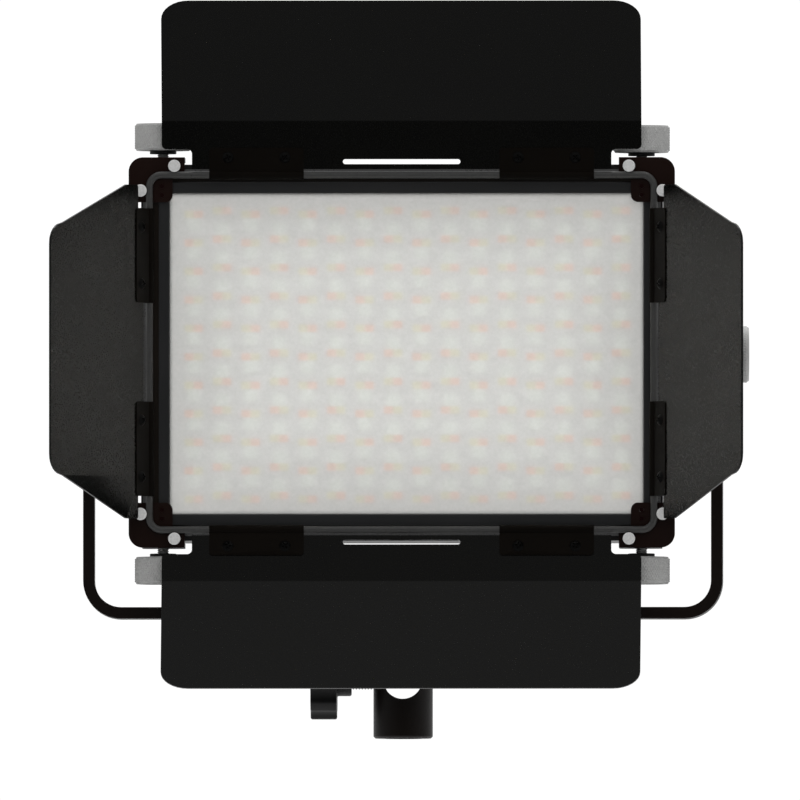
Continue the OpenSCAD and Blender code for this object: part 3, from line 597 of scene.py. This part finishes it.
def tilt_knob(side):
    """Knob, neck and threaded stud. The stud lies towards the head."""
    name = "tilt_knob_" + side
    low, high, middle = span(name)
    radius = (high.z - low.z) / 2
    away = 1 if side == "right" else -1
    outer = high.x if away > 0 else low.x
    place = along((outer - away * TILT_KNOB_H, middle.y, middle.z), (away, 0, 0))
    stud_end = high.x - low.x - TILT_KNOB_H
    made = Solid()
    made.add(knurled(radius, TILT_KNOB_H), place)
    made.add(disc(NECK_R, NECK_H, 0.3), place @ lifted(-NECK_H))
    made.add(threaded(*M8_STUD, -stud_end, OVERLAP - NECK_H), place, 1)
    made.build(name + "_knurled", name, ["knob_aluminium", "zinc_steel"], name)


def dial(side):
    """A fluted encoder knob on its spindle, with a pointer line let into its dished face."""
    name = "dial_" + side
    low, high, middle = span(name)
    radius = (high.x - low.x) / 2
    height = 11.4
    socket_r, socket_h = 5.9, 2.8
    skirt_h, shoulder_h = 1.2, 1.4
    flutes, steps_per_flute, flute_depth = 36, 6, 0.45
    face_z = height - 0.3
    pointer = (-0.35, 4, face_z), (0.35, 7.4, face_z + 0.12)
    spindle_r, face_over_spindle = 2.0, 2.0

    def fluted(r, z, angle):
        if r < radius - 0.6 or z > height - shoulder_h or z < skirt_h:
            return r
        return r - flute_depth * zigzag(flutes * angle / (2 * math.pi)) ** 0.6

    foot = [(0, socket_h), (socket_r, socket_h), (socket_r, 0), (radius - 0.4, 0), (radius, 0.5)]
    grip = [(radius, skirt_h - 0.1), (radius, skirt_h + 0.1), (radius, height - shoulder_h - 0.1),
            (radius, height - shoulder_h + 0.1)]
    crown = [(radius, height - 0.9), (radius - 0.3, face_z), (radius - 1, height), (radius - 2, height),
             (radius - 2.4, face_z), (0, face_z)]
    spindle_length = high.y - low.y - face_over_spindle
    place = along((middle.x, high.y - height, middle.z), (0, 1, 0))
    made = Solid()
    made.add(turned(foot + grip + crown, flutes * steps_per_flute, fluted), place)
    made.add(disc(spindle_r, spindle_length), along((middle.x, low.y, middle.z), (0, 1, 0)), 1)
    made.add(block(*pointer), place, 2)
    made.build(name + "_fluted", name, ["knob_plastic", "zinc_steel", "print_white"], name)


def lock_knob():
    """A lobed hand knob with a collar, a dished face and the end of its threaded insert."""
    low, high, middle = span("lock_knob")
    outer_r, grip_h = 16.5, 11.1
    scallop_r, scallop_out, lobes = 5.5, 20.0, 8
    collar_r, collar_bevel, collar_end = 6.7, 0.5, high.x - low.x
    land_r = 12.5
    lobe_turn = 2 * math.pi / lobes
    blend = 0.6

    def scalloped(r, z, angle):
        if r < outer_r - 2.6:
            return r
        off = ((angle / lobe_turn) % 1 - 0.5) * lobe_turn
        across = scallop_out * math.sin(off)
        if abs(across) >= scallop_r:
            return r
        edge = scallop_out * math.cos(off) - math.sqrt(scallop_r ** 2 - across ** 2)
        limit = edge - (outer_r - r)
        near = max(blend - abs(r - limit), 0) / blend
        return min(r, limit) - near * near * blend / 4

    dish = [(0, 1.2), (5, 1.2), (5.4, 0.8), (9, 0.8), (9.6, 0.3), (land_r, 0)]
    edge = [(outer_r - 0.7, 0), (outer_r - 0.2, 0.2), (outer_r, 0.7)]
    other_edge = [(r, grip_h - z) for r, z in reversed(edge)]
    collar = [(land_r, grip_h), (collar_r + 0.6, grip_h), (collar_r, grip_h + 0.5),
              (collar_r, collar_end - collar_bevel), (collar_r - collar_bevel, collar_end), (0, collar_end)]
    place = along((low.x, middle.y, middle.z), (1, 0, 0))
    made = Solid()
    made.add(turned(dish + edge + other_edge + collar, 30 * lobes, scalloped), place)
    made.add(nut(3.6, 1.2), place @ lifted(0.5), 1)
    made.build("lock_knob_lobed", "lock_knob", ["knob_plastic", "dark_steel"], "lock_knob")


def lock_screw():
    low, high, middle = span("lock_screw")
    made = Solid()
    made.add(threaded(*M8_STUD, 0, high.x - low.x), along((low.x, middle.y, middle.z), (1, 0, 0)))
    made.build("lock_screw_threaded", "lock_knob", ["dark_steel"], "lock_screw")


for corner in CORNERS:
    thumbscrew(corner)
for side in ("left", "right"):
    tilt_knob(side)
    dial(side)
lock_knob()
lock_screw()


# ---------------------------------------------------------------- leaves' screws

SHEET_T = 1.0                      # the leaves' sheet
CLIP_T = 0.5                       # the clips' sheet
CLIP_SCREW_OUT = 7.5               # screws' distance from the hinge
CLIP_SCREW_HALF_PITCH = 12
CLIP_HEAD_R = 2.4
CLIP_HEAD_H = 1.2
CLIP_NUT_T = 1.4
CLIP_THREAD = (1.25, 0.5)          # radius and pitch
CLIP_SCREW_END = 1.6               # how far the thread reaches out of the clip


def leaf_frame(side):
    """A leaf's own frame: X along its hinge, Z towards its tip, -Y out of its inner face."""
    joint = [j for j in frame["joints"] if j["name"] == "leaf_" + side + "_swing"][0]
    lean = Matrix.Rotation(math.radians(joint["range_deg"][1]), 4, "X")
    base = Matrix.Translation(Vector(joint["pos_m"]) / MM)
    quarter = Matrix.Rotation(math.radians(-90), 4, "Y")
    turn = {
        "top": Matrix.Identity(4),
        "bottom": Matrix.Scale(-1, 4, (0, 0, 1)),
        "left": quarter,
        "right": Matrix.Scale(-1, 4, (1, 0, 0)) @ quarter,
    }[side]
    return base @ turn @ lean


def clip_screws(side):
    """Cross-head screws through the clips' legs and the leaf, with a nut on each."""
    name = "clip_screws_" + side
    low, high, middle = span(name)
    reach = (high - low).z if side in ("left", "right") else (high - low).x
    clip_x = reach / 2 - CLIP_HEAD_R - CLIP_SCREW_HALF_PITCH
    face = SHEET_T / 2 + CLIP_T
    inner = Matrix.Translation((0, -face, 0)) @ Matrix.Rotation(math.radians(90), 4, "X")
    outer = Matrix.Translation((0, face, 0)) @ Matrix.Rotation(math.radians(-90), 4, "X")
    made = Solid()
    for n, (x, half) in enumerate((x, h) for x in (-clip_x, clip_x) for h in (-1, 1)):
        at = (x + half * CLIP_SCREW_HALF_PITCH, 0, CLIP_SCREW_OUT)
        screw = leaf_frame(side) @ Matrix.Translation(at)
        spin = Matrix.Rotation(0.7 * n + 0.3, 4, "Z")
        made.add(recessed_head(CLIP_HEAD_R, CLIP_HEAD_H, cross_recess), screw @ inner @ spin)
        made.add(threaded(*CLIP_THREAD, -2 * face, CLIP_SCREW_END, 0.15), screw @ outer)
        made.add(nut(CLIP_HEAD_R, CLIP_NUT_T), screw @ outer @ spin)
    made.build(name + "_cross", "leaf_" + side, ["screw_black"], name)


for side in LEAVES:
    clip_screws(side)


# ---------------------------------------------------------------- bezel and its screws

BEZEL_SCREW = (1.2, 0.5, -4.5)     # radius, pitch and end of the thread
REAR_SCREW = (1.45, 0.5)


def front_bezel():
    """A frame with a chamfered outer edge and a raised border round the lit opening."""
    low, high, middle = span("front_bezel")
    glass_low, glass_high, glass = span("diffuser")
    size = high - low
    panel = glass_high - glass_low
    front, back, shelf = low.y, high.y, glass_low.y
    lip, clearance = 2.0, 0.1
    window_w, window_h = panel.x - 2 * lip + clearance, panel.z - 2 * lip + clearance
    border_w, border_h = window_w + 9.4, window_h + 9.8
    base_y = front + 0.6
    chamfer_w, chamfer_d, corner_r = 1.4, 1.2, 5.0

    def outline(inset, y):
        return rounded_loop((middle.x, middle.z), size.x - 2 * inset, size.z - 2 * inset, corner_r - inset, y)

    def border(inset, y):
        return rounded_loop((glass.x, glass.z), border_w - 2 * inset, border_h - 2 * inset, 3 - inset, y)

    def window(outset, y):
        return rounded_loop((glass.x, glass.z), window_w + 2 * outset, window_h + 2 * outset, 1.5 + outset, y)

    def pocket(y):
        return rounded_loop((glass.x, glass.z), panel.x + clearance, panel.z + clearance, 4, y)

    # painted shade: the base slot's outer band is coloured darker and browner than the plastic
    plastic, base, edge = range(3)
    rings = [
        (base, outline(0, back)),
        # painted highlight: the chamfer is coloured lighter than the rest of the bezel
        (edge, outline(0, base_y + chamfer_d)),
        (base, outline(chamfer_w, base_y)),
        (plastic, border(0, base_y)),
        (plastic, border(0.05, front + 0.25)),
        (plastic, border(0.3, front)),
        (plastic, window(0.45, front)),
        (plastic, window(0.1, front + 0.35)),
        (plastic, window(0, front + 0.9)),
        (plastic, window(0, shelf)),
        (plastic, pocket(shelf)),
        (plastic, pocket(back)),
    ]
    made = Solid()
    made.add(lofted([loop for _, loop in rings]), slot=[slot for slot, loop in rings for _ in loop])
    made.build("front_bezel_lofted", "head", ["bezel_plastic", "bezel_base", "bezel_edge"],
               "front_bezel", 30)


def bezel_screws():
    """Cross-head screws into the bezel's upper and lower edges."""
    low, high, middle = span("bezel_screws")
    head_r, head_h = 2.3, 0.9
    made = Solid()
    for away, z in ((1, high.z - head_h), (-1, low.z + head_h)):
        for n, x in enumerate((low.x + head_r, high.x - head_r)):
            place = along((x, middle.y, z), (0, 0, away))
            made.add(recessed_head(head_r, head_h, cross_recess), place @ Matrix.Rotation(0.5 + n, 4, "Z"))
            made.add(threaded(*BEZEL_SCREW, OVERLAP / 2, 0.2), place)
    made.build("bezel_screws_cross", "head", ["dark_steel"], "bezel_screws")


def rear_screws():
    """Socket-head screws at the rear cover's corners."""
    low, high, middle = span("rear_screws")
    head_r, head_h = 2.8, 1.7
    tip = head_h - (high.y - low.y)
    made = Solid()
    for n, x in enumerate((low.x + head_r, high.x - head_r)):
        for m, z in enumerate((low.z + head_r, high.z - head_r)):
            place = along((x, high.y - head_h, z), (0, 1, 0))
            made.add(recessed_head(head_r, head_h, hex_recess), place @ Matrix.Rotation(0.4 * n + m, 4, "Z"))
            made.add(threaded(*REAR_SCREW, tip, OVERLAP / 2, 0.2), place)
    made.build("rear_screws_hex", "head", ["zinc_steel"], "rear_screws")


front_bezel()
bezel_screws()
rear_screws()


# ---------------------------------------------------------------- stage: floor, light and camera

ROOM_MIDDLE = 1.05         # the room's brightness straight behind the object
ROOM_SIDE = 0.52           # the same, at its sides
FLOOR_GAP = 0.5 * MM


def stage_floor():
    """A plain pale floor. The camera stands a little below its plane, so its underside is clear."""
    bpy.ops.mesh.primitive_plane_add(size=12, location=(0, 0, -FLOOR_GAP))
    floor = bpy.context.object
    floor.name = "floor"
    g = material_graph("floor_paint")
    paint = g.mix(g.noise(6, 3), (0.90, 0.90, 0.90, 1), (0.94, 0.94, 0.94, 1))
    top = g.principled(Base_Color=paint, Roughness=0.9, Specular_IOR_Level=0.1)
    floor.data.materials.append(g.finish(g.blend(g.from_behind(), top, g.clear())))
    floor.visible_glossy = False


def surroundings():
    """White all round to the camera; to the object, a room that darkens towards the camera and the sides."""
    world = bpy.data.worlds.new("studio")
    bpy.context.scene.world = world
    g = Graph(world, "Generated")
    way = g.node("ShaderNodeSeparateXYZ", Vector=g.coords)
    depth = g.maths("SQRT", g.spread(way.outputs["Y"], 0.0, 1.0, -1.0, 1.0))
    sideways = g.maths("ABSOLUTE", way.outputs["X"])
    room = g.maths("MULTIPLY", depth, g.spread(sideways, ROOM_MIDDLE, ROOM_SIDE, 0.0, 1.0))
    to_camera = g.node("ShaderNodeLightPath").outputs["Is Camera Ray"]
    light = g.node("ShaderNodeBackground", Color=(1, 1, 1, 1), Strength=g.maths("MAXIMUM", room, to_camera))
    g.finish(light.outputs[0], "ShaderNodeOutputWorld")


def softbox(name, place, size, power, mirrored=False):
    """A large lamp that faces the object. Only a mirrored one shows up in reflections."""
    data = bpy.data.lights.new(name, "AREA")
    data.shape = "RECTANGLE"
    data.size, data.size_y = size
    data.energy = power
    lamp = bpy.data.objects.new(name, data)
    bpy.context.scene.collection.objects.link(lamp)
    lamp.location = place
    lamp.rotation_euler = (LAMP - Vector(place)).to_track_quat("-Z", "Y").to_euler()
    lamp.visible_glossy = mirrored
    lamp.visible_camera = False


def place_camera():
    """Nearly square on, from slightly right and below, and without perspective."""
    turn, rise = math.radians(1.0), math.radians(-1.5)
    distance = 4.0
    aim = LAMP + Vector((-0.7, 0, -20.1)) * MM
    away = Vector((math.sin(turn) * math.cos(rise), -math.cos(turn) * math.cos(rise), math.sin(rise)))
    camera = bpy.data.objects.new("camera", bpy.data.cameras.new("camera"))
    bpy.context.scene.collection.objects.link(camera)
    camera.location = aim + away * distance
    camera.rotation_euler = (-away).to_track_quat("-Z", "Y").to_euler()
    camera.data.type = "ORTHO"
    camera.data.ortho_scale = 336.8 * MM
    camera.data.clip_end = 50
    bpy.context.scene.camera = camera


stage_floor()
surroundings()
softbox("front", (0.3, -3.0, 1.6), (3.0, 3.0), 60)
softbox("top", (0, 0.2, 2.6), (3.5, 3.5), 60)
softbox("overhead", (0, 0.9, 2.4), (2.4, 1.2), 25, mirrored=True)
place_camera()
bpy.context.scene.view_settings.view_transform = "Standard"
